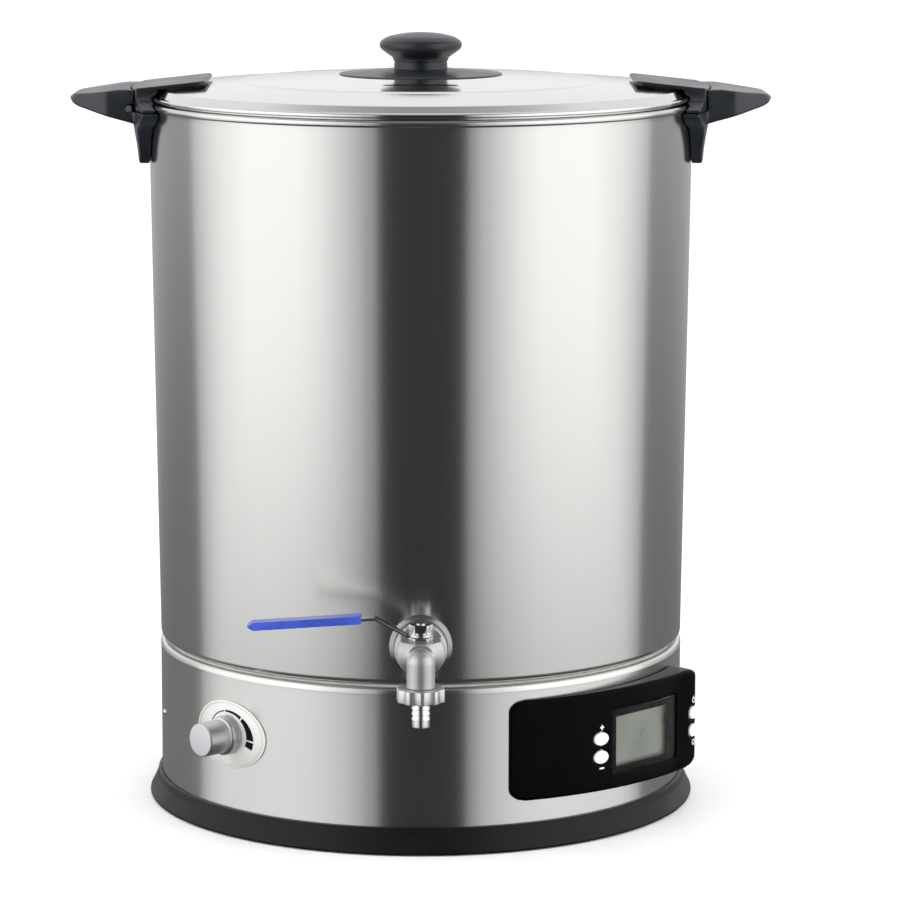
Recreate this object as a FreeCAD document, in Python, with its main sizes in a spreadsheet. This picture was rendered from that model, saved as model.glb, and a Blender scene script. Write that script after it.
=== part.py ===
import FreeCAD, Part
import Sketcher
import math
import os
from FreeCAD import Placement, Rotation, Vector

# A free-standing electric brew kettle: a tapered steel vessel with a lift-off lid, standing on a
# housing that holds the heater, the thermostat and the control panel. Millimetres, +Z up, the
# tap faces -Y, and the origin is the middle of the surface that the feet stand on.

DIMENSIONS = {
    # vessel: outer radii of the tapered wall, and its heights
    "vessel_foot_radius": 183.4,
    "vessel_neck_radius": 188.2,
    "vessel_base": 113.9,
    "vessel_neck": 481.5,
    "vessel_corner": 5,
    "vessel_wall": 1.2,
    "bead_radius": 2.4,
    "bead_ring": 187.6,
    "bead_level": 486.9,
    # lid
    "lid_level": 492.4,
    "lid_bead": 2,
    "lid_ring": 186.6,
    "lid_sheet": 1,
    "shoulder_ring": 179,
    "shoulder_level": 498.2,
    "dome_ring": 124,
    "dome_level": 503.2,
    "crown_ring": 50,
    "crown_level": 506.6,
    "skirt_radius": 184,
    "skirt_level": 482,
    "vent_ring": 84,
    "vent_length": 51,
    "vent_width": 7,
    "disc_radius": 56.5,
    "disc_edge": 1.4,
    "neck_radius": 18.5,
    "knob_radius": 28.5,
    "knob_top": 536,
    # housing under the vessel
    "shell_radius": 183.6,
    "shell_sheet": 1,
    "shell_foot": 6.5,
    "shell_shoulder": 107,
    "shell_lip": 112.6,
    "ring_top": 17.6,
    "ring_top_radius": 185.9,
    "ring_foot_radius": 192.3,
    "foot_height": 6.5,
    "foot_radius": 12,
    "foot_circle": 150,
    "plate_level": 6.5,
    "plate_sheet": 1.5,
    "screw_circle": 177,
    # heater
    "heater_radius": 120,
    "heater_plate": 6,
    "element_circle": 90,
    "element_radius": 4.2,
    "shield_level": 84,
    "shield_radius": 160,
    # thermostat, on the left front
    "dial_turn": 45,
    "dial_level": 69,
    "dial_width": 67,
    "dial_height": 46.5,
    "knob_face": 26.5,
    "knob_barrel": 11.4,
    "knob_skirt": 13.4,
    # control panel, on the right front: its face is an arc about a centre of its own
    "panel_centre_x": -7.8,
    "panel_centre_y": 38.4,
    "panel_arc": 225,
    "panel_start": 17.4,
    "panel_end": 64,
    "panel_low": 33,
    "panel_high": 102,
    "panel_corner": 11,
    "panel_far_corner": 20,
    "panel_wall": 2.4,
    "window_start": 37.9,
    "window_end": 54.9,
    "window_low": 43,
    "window_high": 87.5,
    # tap
    "tap_level": 141.5,
    "stem_y": -207,
    "spout_y": -219,
    "spout_radius": 9.3,
    "tap_bore": 3.4,
    "ball_radius": 6.4,
    "nut_radius": 16,
    "nut_low": 112.4,
    "nut_high": 121.2,
    "tail_radius": 5.6,
    "tail_end": 95,
    "lever_level": 153,
    "lever_rise": 165.4,
    "lever_bend": 30,
    "sleeve_start": 39,
    "sleeve_end": 114,
    # handles and the lid clips between them
    "clip_ring": 200.5,
    "clip_gap": 0.6,
    "handle_tip": 243,
    "handle_top": 499,
    "handle_half": 44,
    "clip_inner": 148,
    "clip_shelf": 484.2,
    "rim_half": 64,
    "leg_low": 447.5,
    "lock_pin_x": 199.5,
    "lock_pin_level": 486,
    "lock_pin_radius": 2.3,
    # mains entry at the back
    "gland_level": 45,
    "gland_bore": 4.1,
}

doc = FreeCAD.newDocument("brew_kettle")
sheet = doc.addObject("Spreadsheet::Sheet", "Dimensions")
for row, (alias, value) in enumerate(DIMENSIONS.items(), start=1):
    sheet.set("A%d" % row, alias)
    sheet.set("B%d" % row, str(value))
    sheet.setAlias("B%d" % row, alias)
doc.recompute()

NODES = []
UP = Vector(0, 0, 1)
ORIGIN = Vector(0, 0, 0)


def dim(alias):
    """The plain number in one cell of the sheet."""
    return float(sheet.get(alias))


def formula(text):
    """A formula in cell names, written the way an expression wants it."""
    words = []
    for word in text.split(" "):
        bare = word.strip("()")
        words.append(word.replace(bare, "Dimensions." + bare) if bare in DIMENSIONS else word)
    return " ".join(words)


def value_of(text):
    """The number that a formula gives now."""
    answer = sheet.evalExpression(formula(text))
    return float(getattr(answer, "Value", answer))


def keep(item, label):
    item.Label = label
    NODES.append(item)
    return item


def origin_plane(body, role):
    return next(part for part in body.Origin.OriginFeatures if part.Role == role)


def draw_outline(sketch, outline):
    """A closed loop of straight lines whose corners are held at sheet formulas."""
    corners = [Vector(value_of(first), value_of(second), 0) for first, second in outline]
    count = len(corners)
    for index in range(count):
        sketch.addGeometry(Part.LineSegment(corners[index], corners[(index + 1) % count]), False)
    for index in range(count):
        sketch.addConstraint(Sketcher.Constraint("Coincident", index, 2, (index + 1) % count, 1))
    for index, (first, second) in enumerate(outline):
        hold_corner(sketch, index, "DistanceX", "Y" if corners[index].x == 0 else "", first)
        hold_corner(sketch, index, "DistanceY", "X" if corners[index].y == 0 else "", second)


def hold_corner(sketch, index, kind, on_axis, text):
    """A corner either lies on an axis or stands at a formula's distance from it."""
    if on_axis:
        axis = -1 if on_axis == "X" else -2
        sketch.addConstraint(Sketcher.Constraint("PointOnObject", index, 1, axis))
        return
    place = sketch.addConstraint(Sketcher.Constraint(kind, -1, 1, index, 1, value_of(text)))
    if any(letter.isalpha() for letter in text):
        sketch.setExpression("Constraints[%d]" % place, formula(text))


def new_sketch(label, role, outline):
    body = doc.addObject("PartDesign::Body", label)
    sketch = body.newObject("Sketcher::SketchObject", label + "_outline")
    sketch.AttachmentSupport = [(origin_plane(body, role), "")]
    sketch.MapMode = "FlatFace"
    draw_outline(sketch, outline)
    return body, sketch


def turned(label, outline):
    """A ring or disc about its own Z axis; outline holds (radius, height) corners."""
    body, sketch = new_sketch(label, "XZ_Plane", outline)
    spin = body.newObject("PartDesign::Revolution", label + "_turn")
    spin.Profile = sketch
    spin.ReferenceAxis = (sketch, ["V_Axis"])
    spin.Angle = 360
    return keep(body, label)


def free_form(label, shape):
    """A piece whose shape is worked out with Part's own functions."""
    item = doc.addObject("Part::Feature", label)
    item.Shape = shape.removeSplitter() if len(shape.Solids) == 1 else shape
    item.Placement = Placement()
    return keep(item, label)


def polar(radius, degrees, height=0.0):
    """A point at an angle measured from the front (-Y) towards the right (+X)."""
    turn = math.radians(degrees)
    return Vector(radius * math.sin(turn), -radius * math.cos(turn), height)


def slab(points, low, high):
    """A flat outline at one height, thickened up to another."""
    corners = [Vector(x, y, low) for x, y in points]
    wire = Part.makePolygon(corners + [corners[0]])
    return Part.Face(wire).extrude(Vector(0, 0, high - low))


def side_slab(points, half_width):
    """An outline in the XZ plane, thickened both ways along Y."""
    corners = [Vector(x, -half_width, z) for x, z in points]
    wire = Part.makePolygon(corners + [corners[0]])
    return Part.Face(wire).extrude(Vector(0, 2 * half_width, 0))


def tube(inner, outer, low, high):
    base = Vector(0, 0, low)
    return Part.makeCylinder(outer, high - low, base).cut(Part.makeCylinder(inner, high - low, base))


def spun(points, axis=UP):
    """A solid of revolution about Z from (radius, height) corners."""
    corners = [Vector(radius, 0, height) for radius, height in points]
    wire = Part.makePolygon(corners + [corners[0]])
    return Part.Face(wire).revolve(ORIGIN, axis, 360)


def along(direction, length, radius, start):
    return Part.makeCylinder(radius, length, start, direction)


def hexagon(across, low, high, centre):
    """A hex bar standing on Z, measured across its flats."""
    reach = across / math.sqrt(3)
    points = []
    for index in range(6):
        angle = math.radians(60 * index)
        points.append((centre.x + reach * math.cos(angle), centre.y + reach * math.sin(angle)))
    return slab(points, low, high)


# ---------------------------------------------------------------- vessel


def make_vessel():
    """The deep drawn pot: a tapered wall, a floor with rounded corner, and a rolled rim."""
    foot = dim("vessel_foot_radius")
    neck = dim("vessel_neck_radius")
    base = dim("vessel_base")
    wall = dim("vessel_wall")
    corner = dim("vessel_corner")
    top = dim("vessel_neck")

    def side(shrink):
        """The edges of the outer or the inner face, from the axis up to the neck."""
        edge, low = foot - shrink, base + shrink
        radius = corner - shrink
        start = Vector(edge - radius, 0, low)
        middle = Vector(edge - radius * (1 - math.sqrt(0.5)), 0, low + radius * (1 - math.sqrt(0.5)))
        end = Vector(edge, 0, low + radius)
        return [Part.makeLine(Vector(0, 0, low), start),
                Part.Arc(start, middle, end).toShape(),
                Part.makeLine(end, Vector(neck - shrink, 0, top))]

    outer = side(0)
    inner = side(wall)
    closing = [Part.makeLine(Vector(neck, 0, top), Vector(neck - wall, 0, top)),
               Part.makeLine(Vector(0, 0, base), Vector(0, 0, base + wall))]
    section = Part.Face(Part.Wire(Part.__sortEdges__(outer + inner + closing)))
    pot = section.revolve(ORIGIN, UP, 360)
    neck_ring = tube(neck - wall, neck, top, dim("bead_level"))
    bead = Part.makeTorus(dim("bead_ring"), dim("bead_radius"), Vector(0, 0, dim("bead_level")))
    pot = pot.fuse([neck_ring, bead])
    level = dim("tap_level")
    pot = pot.cut(along(Vector(0, 1, 0), 30, 10.3, Vector(0, -200, level)))
    for angle in handle_screw_angles():
        start = polar(170, angle, handle_screw_level())
        pot = pot.cut(along(polar(1, angle), 40, 2.7, start))
    free_form("vessel", pot)


def handle_screw_angles():
    return [90 - 7, 90 + 7, -90 - 7, -90 + 7]


def handle_screw_level():
    return dim("leg_low") + 16


def make_housing():
    """The lower shell, its seal, and the flared base ring with its cover and feet."""
    radius = dim("shell_radius")
    sheet_gauge = dim("shell_sheet")
    low, shoulder, lip = dim("shell_foot"), dim("shell_shoulder"), dim("shell_lip")
    crown = radius - (lip - shoulder) * 0.5
    outside = [(radius, low), (radius, shoulder - 1), (radius + 0.2, shoulder + 1.6),
               (radius - 0.4, shoulder + 3.8), (crown, lip)]
    inside = [(170, lip), (170, lip - sheet_gauge), (crown - 0.6, lip - sheet_gauge),
              (radius - sheet_gauge, shoulder), (radius - sheet_gauge, low)]
    shell = spun(outside + inside)
    turn = -dim("dial_turn")
    shell = shell.cut(along(polar(1, turn), 30, 5.2, polar(170, turn, dim("dial_level"))))
    for window in shell_windows():
        shell = shell.cut(window)
    shell = shell.cut(along(Vector(0, 1, 0), 30, 8.3, Vector(0, 170, dim("gland_level"))))
    free_form("lower_shell", shell)

    turned("shell_seal", [("172", "shell_lip + 0.05"), ("179", "shell_lip + 0.05"),
                          ("178", "vessel_base - 0.05"), ("172", "vessel_base - 0.05")])

    ring = turned("base_ring", [
        ("ring_top_radius", "ring_top"), ("ring_top_radius + 1", "ring_top - 4"),
        ("ring_foot_radius - 2.4", "6.5"), ("ring_foot_radius", "2.6"),
        ("ring_foot_radius - 0.4", "1"), ("ring_foot_radius - 5", "1"),
        ("shell_radius + 1.4", "3.6"), ("172", "3.6"), ("172", "shell_foot - 0.1"),
        ("shell_radius + 0.3", "shell_foot - 0.1"), ("shell_radius + 0.3", "ring_top"),
    ])
    add_holes(ring, "screws", "screw_circle", 1.7, 4, 45)

    plate = turned("base_plate", [("0", "plate_level"), ("shell_radius - 1.4", "plate_level"),
                                  ("shell_radius - 1.4", "plate_level + plate_sheet"),
                                  ("0", "plate_level + plate_sheet")])
    add_holes(plate, "screws", "screw_circle", 1.5, 4, 45)
    add_holes(plate, "feet", "foot_circle", 2.1, 4, 45)
    add_holes(plate, "middle", "0", 2.1, 1, 0)


def add_holes(body, use, circle, radius, count, first):
    """Straight holes on a circle, through everything, in a turned body."""
    stem = "%s_%s" % (body.Label, use)
    sketch = body.newObject("Sketcher::SketchObject", stem)
    sketch.AttachmentSupport = [(origin_plane(body, "XY_Plane"), "")]
    sketch.MapMode = "FlatFace"
    turn = math.radians(first)
    reach = value_of(circle)
    middle = Vector(reach * math.cos(turn), reach * math.sin(turn), 0)
    sketch.addGeometry(Part.Circle(middle, UP, radius), False)
    sketch.addConstraint(Sketcher.Constraint("Radius", 0, radius))
    if reach == 0:
        sketch.addConstraint(Sketcher.Constraint("Coincident", 0, 3, -1, 1))
    else:
        across = "%s * cos(%d)" % (circle, first)
        upward = "%s * sin(%d)" % (circle, first)
        for kind, text, value in (("DistanceX", across, middle.x), ("DistanceY", upward, middle.y)):
            place = sketch.addConstraint(Sketcher.Constraint(kind, -1, 1, 0, 3, value))
            sketch.setExpression("Constraints[%d]" % place, formula(text))
    pocket = body.newObject("PartDesign::Pocket", stem + "_drill")
    pocket.Profile = sketch
    pocket.Type = "ThroughAll"
    pocket.Midplane = True
    body.Tip = pocket
    if count == 1:
        return
    pattern = body.newObject("PartDesign::PolarPattern", stem + "_drills")
    pattern.Originals = [pocket]
    pattern.Axis = (sketch, ["N_Axis"])
    pattern.Angle = 360
    pattern.Occurrences = count
    body.Tip = pattern


def make_feet():
    height, radius = dim("foot_height"), dim("foot_radius")
    # the middle foot is a plug with a plain face; its stem presses into the base plate
    feet, screws = [spun([(0, 0), (radius - 1.5, 0), (radius, height - 0.05), (1.95, height - 0.05),
                          (1.95, height + 5), (0, height + 5)])], []
    for index in range(4):
        place = polar(dim("foot_circle"), 45 + 90 * index)
        foot = spun([(2.2, height - 0.05), (radius, height - 0.05), (radius - 1.5, 0), (4.6, 0),
                     (4.6, 3), (2.2, 3)])
        foot.translate(place)
        feet.append(foot)
        head = Part.makeCylinder(3.8, 1.6, Vector(0, 0, 1.35))
        screw = head.fuse(Part.makeCylinder(1.9, 9, Vector(0, 0, 2.9)))
        screw.translate(place)
        screws.append(screw)
    free_form("feet", Part.Compound(feet))
    free_form("feet_screws", Part.Compound(screws))
    clamps = []
    for index in range(4):
        head = Part.makeCylinder(2.9, 1.8, Vector(0, 0, 1.75))
        screw = head.fuse(Part.makeCylinder(1.4, 7.5, Vector(0, 0, 3.5)))
        screw.translate(polar(dim("screw_circle"), 45 + 90 * index))
        clamps.append(screw)
    free_form("base_screws", Part.Compound(clamps))


def make_heater():
    """The aluminium heat spreader, its tubular element and the safety parts under the floor."""
    top = dim("vessel_base") - 0.1
    turned("heat_spreader", [("0", "vessel_base - heater_plate"),
                             ("heater_radius", "vessel_base - heater_plate"),
                             ("heater_radius", "vessel_base - 0.1"), ("0", "vessel_base - 0.1")])
    under = top - dim("heater_plate")
    radius, circle = dim("element_radius"), dim("element_circle")
    level = under - radius - 0.1
    coil = Part.makeTorus(circle, radius, Vector(0, 0, level), UP, -180, 180, 320)
    ends = [Part.makeCylinder(radius, 12, Vector(circle, 0, level - 12)),
            Part.makeCylinder(radius, 12, Vector(circle * math.cos(math.radians(320)),
                                                 circle * math.sin(math.radians(320)), level - 12)),
            Part.makeSphere(radius, Vector(circle, 0, level)),
            Part.makeSphere(radius, Vector(circle * math.cos(math.radians(320)),
                                           circle * math.sin(math.radians(320)), level))]
    free_form("heating_element", coil.fuse(ends))

    cutout = Part.makeCylinder(8, 6, Vector(0, 40, under - 6.1))
    cutout = cutout.fuse([Part.makeBox(1, 6, 7, Vector(-5.5, 37, under - 13)),
                          Part.makeBox(1, 6, 7, Vector(4.5, 37, under - 13))])
    free_form("thermal_cutout", cutout)
    probe = Part.makeCylinder(3, 14, Vector(-45, -10, under - 14.1))
    free_form("temperature_probe", probe.fuse(Part.makeCylinder(6, 2, Vector(-45, -10, under - 2.1))))

    shield = turned("heat_shield", [("0", "shield_level"), ("shield_radius", "shield_level"),
                                    ("shield_radius", "shield_level - 8"),
                                    ("shield_radius - 1", "shield_level - 8"),
                                    ("shield_radius - 1", "shield_level - 1"),
                                    ("0", "shield_level - 1")])
    add_holes(shield, "posts", "146", 2.2, 3, 30)
    posts = []
    for index in range(3):
        angle = math.radians(30 + 120 * index)
        place = Vector(146 * math.cos(angle), 146 * math.sin(angle), 0)
        height = top - dim("shield_level") - 0.1
        post = Part.makeCylinder(4, height, Vector(0, 0, dim("shield_level") + 0.1))
        post = post.fuse(Part.makeCylinder(2, 8, Vector(0, 0, dim("shield_level") - 7)))
        post.translate(place)
        posts.append(post)
    free_form("shield_posts", Part.Compound(posts))


def make_electrics():
    """The boards, the terminal block and the cable gland inside the housing."""
    floor = dim("plate_level") + dim("plate_sheet")
    board_low = floor + 8
    board = Part.makeBox(90, 60, 1.6, Vector(-45, 20, board_low))
    spacers = []
    for x in (-39, 39):
        for y in (26, 74):
            board = board.cut(Part.makeCylinder(1.7, 6, Vector(x, y, board_low - 2)))
            spacers.append(Part.makeCylinder(3, 7.9, Vector(x, y, floor + 0.05))
                           .fuse(Part.makeCylinder(1.5, 5, Vector(x, y, floor + 7))))
    free_form("relay_board", board)
    free_form("board_spacers", Part.Compound(spacers))
    relays = [Part.makeBox(20, 16, 17, Vector(x, 40, board_low + 1.65)) for x in (-24, 4)]
    free_form("relays", Part.Compound(relays))
    terminal = Part.makeBox(46, 18, 16, Vector(-23, 118, floor + 0.1))
    for index in range(4):
        terminal = terminal.cut(Part.makeCylinder(3, 9, Vector(-16.5 + 11 * index, 127, floor + 9)))
    free_form("terminal_block", terminal)

    level, bore = dim("gland_level"), dim("gland_bore")
    out = Vector(0, 1, 0)
    wall = dim("shell_radius")
    gland = along(out, 16, 8.1, Vector(0, wall - 12, level))
    gland = gland.fuse(along(out, 4, 12, Vector(0, wall + 0.1, level)))
    gland = gland.fuse(Part.makeCone(10, 7.4, 12, Vector(0, wall + 4, level), out))
    gland = gland.cut(along(out, 60, bore, Vector(0, wall - 30, level)))
    free_form("cable_gland", gland)
    nut = hexagon(22, 0, 5, ORIGIN).cut(Part.makeCylinder(8.2, 9, Vector(0, 0, -2)))
    nut.rotate(ORIGIN, Vector(1, 0, 0), -90)
    nut.translate(Vector(0, wall - 6.8, level))
    free_form("gland_nut", nut)


# ---------------------------------------------------------------- thermostat


def outward(shape, degrees, radius, height):
    """Stand a shape drawn along Z so that it points out of the housing at an angle."""
    turned_shape = shape.copy()
    turned_shape.rotate(ORIGIN, Vector(1, 0, 0), 90)
    turned_shape.rotate(ORIGIN, UP, degrees)
    turned_shape.translate(polar(radius, degrees, height))
    return turned_shape


def make_thermostat():
    turn, level = -dim("dial_turn"), dim("dial_level")
    radius = dim("shell_radius")
    ellipse = Part.Ellipse(ORIGIN, dim("dial_width") / 2, dim("dial_height") / 2)
    oval = Part.Face(Part.Wire(ellipse.toShape())).extrude(Vector(0, 0, 40))
    oval = oval.cut(Part.makeCylinder(5.2, 60, Vector(0, 0, -5)))
    plate = outward(oval, turn, radius - 20, level)
    plate = plate.common(tube(radius + 0.1, radius + 1.1, level - 40, level + 40))
    free_form("dial_plate", plate)

    body = spun([(3.3, -22), (15, -22), (15, -3), (4.9, -3), (4.9, 2.4), (3.3, 2.4)])
    free_form("thermostat_body", outward(body, turn, radius, level))
    nut = hexagon(14, 1.3, 4, ORIGIN).cut(Part.makeCylinder(5, 8))
    free_form("thermostat_nut", outward(nut, turn, radius, level))

    face = dim("knob_face")
    barrel, skirt = dim("knob_barrel"), dim("knob_skirt")
    knob = spun([(3.2, 4.4), (10.4, 4.4), (10.4, 1.7), (skirt, 1.7), (skirt - 0.3, 8), (skirt - 1.2, 8.6),
                 (barrel + 0.1, 9), (barrel, face - 0.8), (barrel - 0.8, face), (0, face), (0, face - 6),
                 (3.2, face - 6)])
    free_form("thermostat_knob", outward(knob, turn, radius, level))
    shaft = spun([(0, -20), (3.22, -20), (3.22, 3), (3.1, 3), (3.1, face - 6.2), (0, face - 6.2)])
    free_form("thermostat_shaft", outward(shaft, turn, radius, level))


# ---------------------------------------------------------------- control panel


def panel_point(radius, degrees, height=0.0):
    return polar(radius, degrees, height) + Vector(dim("panel_centre_x"), dim("panel_centre_y"), 0)


def panel_arc_piece(inner, outer, first, last, low, high):
    """A curved slab between two arcs of the panel's own centre."""
    middle = (first + last) / 2
    edges = [Part.Arc(panel_point(outer, first, low), panel_point(outer, middle, low),
                      panel_point(outer, last, low)).toShape(),
             Part.makeLine(panel_point(outer, last, low), panel_point(inner, last, low)),
             Part.Arc(panel_point(inner, last, low), panel_point(inner, middle, low),
                      panel_point(inner, first, low)).toShape(),
             Part.makeLine(panel_point(inner, first, low), panel_point(outer, first, low))]
    return Part.Face(Part.Wire(edges)).extrude(Vector(0, 0, high - low))


def shell_windows():
    """The openings in the lower shell behind the display."""
    middle = (dim("window_start") + dim("window_end")) / 2
    opening = Part.makeBox(62, 60, 46, Vector(-31, -30, dim("window_low") - 0.5))
    opening.rotate(ORIGIN, UP, middle)
    opening.translate(panel_point(dim("panel_arc") - 12, middle))
    return [opening]


def panel_outline(grow):
    """The panel seen from above: an arc face that ends in a wall back to the shell."""
    arc = dim("panel_arc") - grow
    first, last = dim("panel_start"), dim("panel_end")
    low = dim("panel_low")
    start = panel_point(arc, first, low)
    end = panel_point(arc, last, low)
    shell = dim("shell_radius") + 0.25
    foot = polar(shell - 12, 75.5 - grow * 0.4, low)
    heel = panel_point(arc - 16, first, low)
    edges = [Part.Arc(start, panel_point(arc, (first + last) / 2, low), end).toShape(),
             Part.makeLine(end, foot), Part.makeLine(foot, heel), Part.makeLine(heel, start)]
    return Part.Face(Part.Wire(edges))


def button_places():
    """Each button's name, its angle on the panel's arc, and its height."""
    return [("button_up", 35.2, 69.3), ("button_down", 35.2, 56.7),
            ("button_power", 61, 70.3), ("button_set", 61, 57.8)]


def button_oval(grow, depth):
    ellipse = Part.Ellipse(ORIGIN, 5.9 + grow, 4.4 + grow)
    return Part.Face(Part.Wire(ellipse.toShape())).extrude(Vector(0, 0, depth))


def panel_outward(shape, radius, degrees, height):
    shape.rotate(ORIGIN, Vector(1, 0, 0), 90)
    shape.rotate(ORIGIN, UP, degrees)
    shape.translate(panel_point(radius, degrees, height))
    return shape


def make_panel():
    low, high = dim("panel_low"), dim("panel_high")
    arc, wall, corner = dim("panel_arc"), dim("panel_wall"), dim("panel_corner")
    shell = dim("shell_radius") + 0.25
    block_shape = panel_outline(0).extrude(Vector(0, 0, high - low))
    upright = [edge for edge in block_shape.Edges
               if abs(edge.Length - (high - low)) < 0.01
               and math.hypot(edge.CenterOfMass.x, edge.CenterOfMass.y) > shell + 12]
    block_shape = block_shape.makeFillet(12, upright)
    # the four corners of the face are rounded by a plate drawn flat in front of it
    middle = (dim("panel_start") + dim("panel_end")) / 2
    span = 2 * arc * math.sin(math.radians((dim("panel_end") - dim("panel_start")) / 2))
    face_plate = Part.makeBox(span + 1.2, high - low, 120, Vector(-span / 2 - 0.6, low, -60))
    for radius, side in ((corner, -1), (dim("panel_far_corner"), 1)):
        corners = [edge for edge in face_plate.Edges
                   if abs(edge.Length - 120) < 0.01 and edge.CenterOfMass.x * side > 40]
        face_plate = face_plate.makeFillet(radius, corners)
    face_plate.rotate(ORIGIN, Vector(1, 0, 0), 90)
    face_plate.rotate(ORIGIN, UP, middle)
    face_plate.translate(panel_point(arc - 20, middle))
    housing = block_shape.common(face_plate)
    housing = housing.cut(Part.makeCylinder(shell, 200))
    hollow = panel_arc_piece(arc - 45, arc - wall, dim("window_start") - 5.6, dim("panel_end") - 1.3,
                             low + 9.5, high - 9.5)
    housing = housing.cut(hollow)
    window = panel_arc_piece(arc - 12, arc + 5, dim("window_start"), dim("window_end"),
                             dim("window_low"), dim("window_high"))
    housing = housing.cut(window)
    for name, degrees, height in button_places():
        housing = housing.cut(panel_outward(button_oval(0.35, 12), arc - 8, degrees, height))
    housing = max(housing.Solids, key=lambda solid: solid.Volume)
    free_form("panel_housing", housing)

    lens = panel_arc_piece(arc - 2.3, arc - 1.1, dim("window_start") + 0.1, dim("window_end") - 0.1,
                           dim("window_low") + 0.3, dim("window_high") - 0.3)
    free_form("display_lens", lens)
    centre = (dim("window_start") + dim("window_end")) / 2
    display = Part.makeBox(58, 40, 3, Vector(-29, -20, 0))
    height = (dim("window_low") + dim("window_high")) / 2
    free_form("display_module", panel_outward(display, arc - 10.2, centre, height))
    board = Part.makeBox(56, 42, 1.6, Vector(-28, -21, 0))
    radius = dim("shell_radius")
    free_form("control_board", outward(board, 53.6, radius - 9.2, height))

    for name, degrees, height in button_places():
        cap = button_oval(0, 3.4).fuse(Part.makeCylinder(3, 1.5, Vector(0, 0, -1.4)))
        free_form(name, panel_outward(cap, arc - 2.9, degrees, height))


# ---------------------------------------------------------------- tap


def make_tap():
    level, stem_y, spout_y = dim("tap_level"), dim("stem_y"), dim("spout_y")
    out = Vector(0, -1, 0)
    wall_y = -(dim("vessel_foot_radius") + 0.5)
    bore, spout = dim("tap_bore"), dim("spout_radius")
    spout_low = dim("nut_high") + 0.1
    elbow = Vector(0, spout_y, level - 4)
    # the flat top that the packing nut sits on, in front of the rear collar
    platform = Part.makeBox(60, 60, 20, Vector(-30, wall_y - 73, level + 8.6))
    body = along(out, 36, 9.9, Vector(0, wall_y + 32.5, level))
    body = body.fuse([
        along(out, 9.5, 17.4, Vector(0, wall_y - 3.5, level)),
        along(out, 13.4, 15.7, Vector(0, wall_y - 13, level)).cut(platform),
        Part.makeCone(15.7, spout - 0.6, 9, Vector(0, wall_y - 26.4, level), out).cut(platform),
        Part.makeCylinder(spout, elbow.z - spout_low, Vector(0, spout_y, spout_low)),
        Part.makeSphere(spout, elbow),
        Part.makeCylinder(8.2, 6, Vector(0, spout_y, dim("nut_high") - 5.2)),
    ])
    body = body.cut(along(out, wall_y + 35 - spout_y, bore, Vector(0, wall_y + 35, level)))
    body = body.cut(Part.makeCylinder(bore, 60, Vector(0, spout_y, 90)).common(
        Part.makeBox(40, 40, level - 90, Vector(-20, spout_y - 20, 90))))
    body = body.cut(along(out, 16, 7, Vector(0, stem_y + 8, level)))
    body = body.cut(Part.makeCylinder(3.02, 30, Vector(0, stem_y, level)))
    free_form("tap_body", body)

    flange = spun([(10.4, 0.15), (21, 0.15), (21, 1.2), (18, 3.2), (10.4, 3.2)])
    flange.rotate(ORIGIN, Vector(1, 0, 0), 90)
    flange.translate(Vector(0, wall_y, level))
    free_form("tap_flange", flange)
    inside_y = -(dim("vessel_foot_radius") - dim("vessel_wall") - 4)
    gasket = spun([(10.1, 0), (15.5, 0), (15.5, 2.4), (10.1, 2.4)])
    gasket.rotate(ORIGIN, Vector(1, 0, 0), 90)
    gasket.translate(Vector(0, inside_y, level))
    free_form("tap_gasket", gasket)
    back_nut = hexagon(27, 0.1, 7, ORIGIN).cut(Part.makeCylinder(10, 20, Vector(0, 0, -3)))
    back_nut.rotate(ORIGIN, Vector(1, 0, 0), -90)
    back_nut.translate(Vector(0, inside_y, level))
    free_form("tap_backnut", back_nut)
    seat = spun([(3.8, 5.6), (6.9, 5.6), (6.9, 7.8), (3.8, 7.8)])
    seats = []
    for turn in (90, -90):
        ring = seat.copy()
        ring.rotate(ORIGIN, Vector(1, 0, 0), turn)
        ring.translate(Vector(0, stem_y, level))
        seats.append(ring)
    free_form("tap_seats", Part.Compound(seats))
    ball = Part.makeSphere(dim("ball_radius"))
    ball.rotate(ORIGIN, UP, 90)
    ball = ball.cut(along(Vector(1, 0, 0), 30, bore, Vector(-15, 0, 0)))
    ball.translate(Vector(0, stem_y, level))
    free_form("tap_ball", ball)
    packing = hexagon(14, level + 8.7, dim("lever_level") - 0.4, Vector(0, stem_y, 0))
    packing = packing.cut(Part.makeCylinder(3.02, 40, Vector(0, stem_y, level)))
    free_form("packing_nut", packing)
    make_lever(stem_y, level)
    make_tail(spout_y)


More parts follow.
